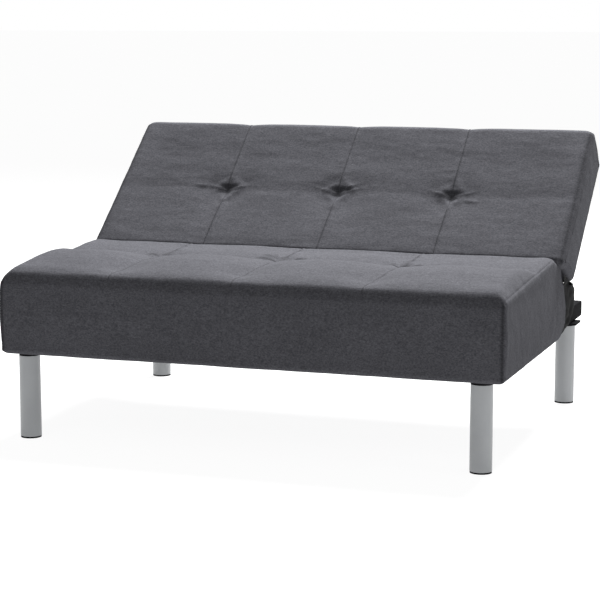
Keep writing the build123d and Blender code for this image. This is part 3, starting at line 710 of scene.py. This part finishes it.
rear = smooth_step(-out, REAR - 26 * MM, REAR - 8 * MM)
foot = smooth_step(-up, -6 * MM, 2 * MM)
ease = smooth_step(up, -10 * MM, 0.16) * smooth_step(-up, -TOP_UP, -TOP_UP + 0.16)
ease *= smooth_step(-np.abs(x), -BACK_SIDE, -BACK_SIDE + 90 * MM)
ease = front * ease + (1 - front) * 0.2
inflate(back, np.maximum.reduce([pins, rear, foot]), 3.0, 7 * MM, ease)
seams_at = {1: GROOVE, 2: GROOVE}
push_along_normals(back, -edge_seams(rows, size, where, len(x), seams_at))
subdivide(back)


def back_extra(x, up, out):
    """Shade along the seams between the face and the side panels."""
    line = np.exp(-(((np.abs(x) - BACK_SIDE + 9 * MM) / (4 * MM)) ** 2))
    return 0.45 * line * smooth_step(out, -24 * MM, -6 * MM)


press_detail(back, back_face, off_back, 4, back_extra)
padded_piece("back_cushion", "back", 0.8, "back_cover", "back_foam")

# ---- rear panel of the back: thin cloth stapled over the frame, with a turned-in hem ----
PANEL = (-(BACK_HALF - 30 * MM), BACK_HALF - 30 * MM, 96 * MM, BACK_LONG - 26 * MM)
panel_x = np.linspace(PANEL[0], PANEL[1], 121)
panel_up = np.linspace(PANEL[2], PANEL[3], 37)
grid_x, grid_up = np.meshgrid(panel_x, panel_up)
px, pu = grid_x.ravel(), grid_up.ravel()
border = np.minimum.reduce([px - PANEL[0], PANEL[1] - px, pu - PANEL[2], PANEL[3] - pu])
hem_fold = 1.2 * MM * smooth_step(-border, -22 * MM, -18 * MM)
stretch_wave = 0.4 * MM * waviness(np.stack([px, pu, pu * 0], 1), (3, 14, 1), 9)
STAPLE_PITCH = 45 * MM
staple_line = np.exp(-(((border - 10 * MM) / (3 * MM)) ** 2))
staples = 0.8 * MM * staple_line * (0.5 + 0.5 * np.cos(px * 2 * math.pi / STAPLE_PITCH))
stretch_wave *= smooth_step(border, 0, 40 * MM)
panel_out = -(REAR + 0.8 * MM) - hem_fold - stretch_wave + staples
wide = len(panel_x)
panel_faces = [
    (r * wide + c, r * wide + c + 1, (r + 1) * wide + c + 1, (r + 1) * wide + c)
    for r in range(len(panel_up) - 1)
    for c in range(wide - 1)
]
panel = mesh_object("back_panel", on_back(np.stack([px, pu, panel_out], 1)), panel_faces, NONWOVEN)
thick = panel.modifiers.new("Solidify", "SOLIDIFY")
thick.thickness = 1.2 * MM
thick.offset = 0
apply_modifiers(panel)
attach(panel, "back")
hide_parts("back_rear_panel")

# ---- gusset: loose black cloth round the gap at the hinge ----
RAIL_LOW, RAIL_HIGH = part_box("side_rail_right")
RAIL_TOP = RAIL_HIGH[2]
CLOTH_X = RAIL_HIGH[0] + 9 * MM
# its outline from the side, in mm behind the seat's front and above the floor: at the rear near the
# rails, where it meets the seat, and at the rear in the middle
GUSSET_REAR = [
    (688, 331), (738, 329), (772, 309), (786, 276), (780, 246), (752, 226), (706, 214), (668, 210),
]
GUSSET_FRONT = [
    (580, 372), (600, 341), (616, 303), (624, 282), (628, 262), (628, 244), (624, 228), (612, 210),
]
GUSSET_FLAT = [
    (688, 331), (706, 326), (722, 312), (733, 290), (735, 264), (722, 238), (698, 220), (668, 210),
]
flat_line = np.array(GUSSET_FLAT) * MM
rear_line, seat_line = np.array(GUSSET_REAR) * MM, np.array(GUSSET_FRONT) * MM


def along(line, t):
    """Points at fractions t of a side-view line's length, as (y, z)."""
    steps = np.concatenate([[0], np.cumsum(np.hypot(*np.diff(line, axis=0).T))])
    smooth = [np.interp(np.array(t) * steps[-1], steps, line[:, k]) for k in (0, 1)]
    return np.stack([smooth[0] + FRONT, smooth[1]], 1)


def above_rail():
    """The fraction of the rear line at which it comes down to the rail."""
    t = np.linspace(0, 1, 400)
    return float(t[along(rear_line, t)[:, 1] > RAIL_TOP + 5 * MM].max())


DOWN = 26  # steps down the gusset
t_full = np.linspace(0, 1, DOWN + 1)
t_short = t_full * above_rail()
rail_in, rail_out = RAIL_LOW[0] - 4 * MM, RAIL_HIGH[0] + 3 * MM
side_steps = np.linspace(0, 1, 12)
columns = []
for q in side_steps[:-1]:
    lines = (1 - q) * along(seat_line, t_full) + q * along(rear_line, t_full)
    columns.append(np.column_stack([np.full(DOWN + 1, -CLOTH_X), lines]))
middle_x = np.concatenate([
    [-CLOTH_X], np.linspace(-rail_out, -rail_in - 1 * MM, 6), np.linspace(-rail_in, rail_in, 130),
    np.linspace(rail_in + 1 * MM, rail_out, 6), [CLOTH_X],
])
for across in middle_x:
    over_rail = rail_in < abs(across) <= rail_out
    full = float(smooth_step(abs(across), 0.40, 0.56))
    side_view = full * rear_line + (1 - full) * flat_line
    spots = along(side_view, t_short if over_rail else t_full)
    columns.append(np.column_stack([np.full(DOWN + 1, across), spots]))
for q in side_steps[::-1][1:]:
    lines = (1 - q) * along(seat_line, t_full) + q * along(rear_line, t_full)
    columns.append(np.column_stack([np.full(DOWN + 1, CLOTH_X), lines]))
cloth = np.array(columns)
flare = 20 * MM * (1 - t_full) ** 1.5
cloth[:, :, 0] += np.sign(cloth[:, :, 0]) * flare * (np.abs(cloth[:, :1, 0]) > rail_out)
count = len(cloth)
cloth_points = cloth.reshape(-1, 3)
tall = DOWN + 1
cloth_faces = [
    (c * tall + r, c * tall + r + 1, (c + 1) * tall + r + 1, (c + 1) * tall + r)
    for c in range(count - 1)
    for r in range(DOWN)
]
gusset = mesh_object("hinge_gusset_cloth", cloth_points, cloth_faces, NONWOVEN)
crumple = np.abs(waviness(cloth_points, (22, 30, 30), 12))
crumple += 0.6 * np.abs(waviness(cloth_points, (60, 70, 70), 13))
held = np.tile(np.sin(np.pi * np.clip(t_full, 0.02, 0.98)) ** 0.5, count)
CRUMPLE = 13 * MM
SLACK = 4 * MM
push_along_normals(gusset, (crumple * CRUMPLE - SLACK) * held)
subdivide(gusset)
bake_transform(gusset)
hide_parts("hinge_gusset")

# ---- camera, floor and light ----
camera_data = bpy.data.cameras.new("camera")
camera = bpy.data.objects.new("camera", camera_data)
bpy.context.collection.objects.link(camera)
camera_data.lens = 113.95
camera_data.sensor_width = 36
camera.location = (1.5174, FRONT - 3.9418, 0.9912)
camera.rotation_mode = "QUATERNION"
view_direction = Vector((-0.32589, 0.93381, -0.14763))
camera.rotation_quaternion = view_direction.to_track_quat("-Z", "Y")
bpy.context.scene.camera = camera

floor_mesh = bpy.data.meshes.new("floor")
reach = 120.0
floor_corners = [(-reach, -reach, 0), (reach, -reach, 0), (reach, reach, 0), (-reach, reach, 0)]
floor_mesh.from_pydata(floor_corners, [], [(0, 1, 2, 3)])
floor = bpy.data.objects.new("floor", floor_mesh)
bpy.context.collection.objects.link(floor)
floor_mat, floor_shader = material("pale_floor")
floor_shader.inputs["Base Color"].default_value = (0.22, 0.22, 0.22, 1)
floor_shader.inputs["Roughness"].default_value = 0.95
floor_shader.inputs["Specular IOR Level"].default_value = 0.1
floor_shader.inputs["Emission Color"].default_value = (1, 1, 1, 1)
floor_shader.inputs["Emission Strength"].default_value = 0.92
floor_mesh.materials.append(floor_mat)


def soft_light(name, place, aim, size, watts):
    data = bpy.data.lights.new(name, "AREA")
    data.shape = "DISK"
    data.size = size
    data.energy = watts
    lamp = bpy.data.objects.new(name, data)
    bpy.context.collection.objects.link(lamp)
    lamp.location = place
    lamp.rotation_mode = "QUATERNION"
    lamp.rotation_quaternion = (Vector(aim) - Vector(place)).to_track_quat("-Z", "Y")


soft_light("overhead", (0.2, 2.3, 3.5), (0, -0.1, 0.3), 2.2, 630)
soft_light("side", (3.6, -0.6, 1.8), (0, 0, 0.3), 1.6, 7)
soft_light("front", (-0.6, -3.4, 3.2), (0, 0, 0.4), 2.0, 12)
world_light = bpy.data.worlds.new("studio")
bpy.context.scene.world = world_light
world_light.use_nodes = True
sky = world_light.node_tree.nodes
backdrop = sky["Background"]
backdrop.inputs["Color"].default_value = (1, 1, 1, 1)
backdrop.inputs["Strength"].default_value = 1.0
fill = sky.new("ShaderNodeBackground")
fill.inputs["Color"].default_value = (1, 1, 1, 1)
fill.inputs["Strength"].default_value = 0.22
seen = sky.new("ShaderNodeLightPath")
choose = sky.new("ShaderNodeMixShader")
world_links = world_light.node_tree.links
world_links.new(seen.outputs["Is Camera Ray"], choose.inputs[0])
world_links.new(fill.outputs[0], choose.inputs[1])
world_links.new(backdrop.outputs[0], choose.inputs[2])
world_links.new(choose.outputs[0], sky["World Output"].inputs["Surface"])
bpy.context.scene.view_settings.view_transform = "Standard"
